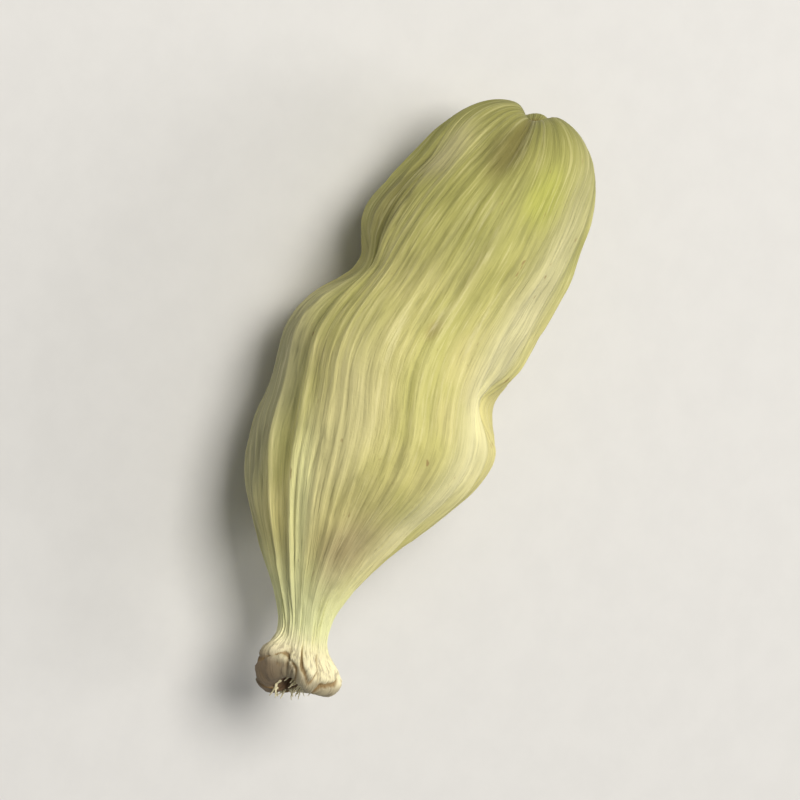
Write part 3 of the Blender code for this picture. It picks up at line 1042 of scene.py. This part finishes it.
class POD_OT_stalk_fibres(bpy.types.Operator):
    """Stand the short torn fibres round the pit in the stalk end"""

    bl_idname = "pod.stalk_fibres"
    bl_label = "Tear Stalk Fibres"

    def execute(self, context):
        sizes = context.scene.stalk_fibre_sizes
        rim = pit_rim(bpy.data.objects["husk"])
        draw = random.Random(STRAND_SEED)
        mesh = bmesh.new()
        for _ in range(sizes.count):
            root, facing = draw.choice(rim)
            room = max(0.0, root.x - POD_LOW.x) + STRAND_OVERHANG
            length = min(room, sizes.length * draw.uniform(SHORTEST_STRAND, 1.0))
            radius = sizes.radius * draw.uniform(THINNEST_STRAND, 1.0)
            outwards = Vector((-1.0, 0.0, 0.0)) + STRAND_FLARE * facing
            direction = (outwards + scatter(draw, STRAND_SCATTER)).normalized()
            add_strand(mesh, root, direction, length, radius, draw)
        bmesh.ops.recalc_face_normals(mesh, faces=mesh.faces)
        dress(object_from(mesh, "stalk_fibres", strand_finish(context.scene.husk_colours)))
        return {"FINISHED"}


def aim(thing, place, target, up):
    """Puts a camera or a light at a place, facing a target, with this direction upwards."""
    back = (place - target).normalized()
    right = up.cross(back).normalized()
    turn = Matrix((right, back.cross(right), back)).transposed()
    thing.matrix_world = Matrix.Translation(place) @ turn.to_4x4()


def make_light(name, place, target, side, power, colour):
    """A soft square light."""
    light = bpy.data.lights.new(name, "AREA")
    light.shape = "SQUARE"
    light.size = side
    light.energy = power
    light.color = colour
    lamp = bpy.data.objects.new(name, light)
    lamp.visible_camera = False
    bpy.context.scene.collection.objects.link(lamp)
    aim(lamp, place, target, Vector(LAMP_UP))


def floor_finish(colour):
    """A plain pale card with the faintest grain."""
    material, shader, nodes = new_material("pale_card")
    place = nodes.add("ShaderNodeTexCoord").outputs["Object"]
    grain = nodes.noise(place, *FLOOR_NOISE)
    nodes.feed(shader.inputs["Base Color"], nodes.shade(colour, nodes.ramp(grain, *FLOOR_SHADE)))
    nodes.feed(shader.inputs["Roughness"], nodes.ramp(grain, *FLOOR_ROUGHNESS))
    return material


class POD_OT_studio(bpy.types.Operator):
    """Lay the pale floor, set the soft lights and aim the camera"""

    bl_idname = "pod.studio"
    bl_label = "Set Studio"

    def execute(self, context):
        studio = context.scene.pod_studio
        mesh = bmesh.new()
        bmesh.ops.create_grid(mesh, x_segments=1, y_segments=1, size=FLOOR_HALF_SIDE)
        object_from(mesh, "floor", floor_finish(studio.floor))

        middle = (CAD_LOW + CAD_HIGH) / 2
        back = Vector((0.0, math.sin(studio.lean), math.cos(studio.lean)))
        left = Vector((0.0, math.cos(studio.lean), -math.sin(studio.lean)))
        up = Vector((math.cos(studio.roll), 0.0, 0.0)) + left * math.sin(studio.roll)
        right = up.cross(back)
        lens = bpy.data.cameras.new("camera")
        lens.lens = studio.lens
        lens.clip_start, lens.clip_end = CAMERA_CLIP
        camera = bpy.data.objects.new("camera", lens)
        context.scene.collection.objects.link(camera)
        seen = (CAD_HIGH.x - CAD_LOW.x) / studio.fill
        aim(camera, middle + back * seen * lens.lens / lens.sensor_width, middle, up)
        context.scene.camera = camera
        context.scene.view_settings.view_transform = "Standard"

        for name, (distance, (to_right, to_top, to_camera), side, colour) in LIGHTS.items():
            place = middle + distance * (right * to_right + up * to_top + back * to_camera)
            make_light(name, place, middle, side, getattr(studio, name), colour)
        world = bpy.data.worlds.new("studio_air")
        world.use_nodes = True
        air = world.node_tree.nodes["Background"]
        air.inputs["Color"].default_value = AIR_COLOUR
        air.inputs["Strength"].default_value = studio.air
        context.scene.world = world
        return {"FINISHED"}


SETTINGS = {
    "husk_sizes": HuskSizes,
    "husk_colours": HuskColours,
    "stalk_fibre_sizes": StalkFibreSizes,
    "pod_studio": StudioSettings,
}
OPERATORS = [POD_OT_husk, POD_OT_stalk_fibres, POD_OT_studio]


class POD_PT_panel(bpy.types.Panel):
    """The pod's settings, and its pieces in the order in which they are made"""

    bl_idname = "POD_PT_panel"
    bl_label = "Cardamom Pod"
    bl_space_type = "VIEW_3D"
    bl_region_type = "UI"
    bl_category = "Cardamom"

    def draw(self, context):
        for name in SETTINGS:
            settings = getattr(context.scene, name)
            box = self.layout.box()
            for setting in settings.__annotations__:
                box.prop(settings, setting)
        for operator in OPERATORS:
            self.layout.operator(operator.bl_idname)


CLASSES = [*SETTINGS.values(), *OPERATORS, POD_PT_panel]


def register():
    """Adds the classes, and each group of settings to the scene."""
    for cls in CLASSES:
        bpy.utils.register_class(cls)
    for name, settings in SETTINGS.items():
        setattr(bpy.types.Scene, name, PointerProperty(type=settings))


def unregister():
    """Takes away what register added."""
    for name in SETTINGS:
        delattr(bpy.types.Scene, name)
    for cls in reversed(CLASSES):
        bpy.utils.unregister_class(cls)


def main():
    """Makes the pod and its studio."""
    register()
    bpy.ops.pod.husk()
    bpy.ops.pod.stalk_fibres()
    bpy.ops.pod.studio()


if __name__ == "__main__":
    main()
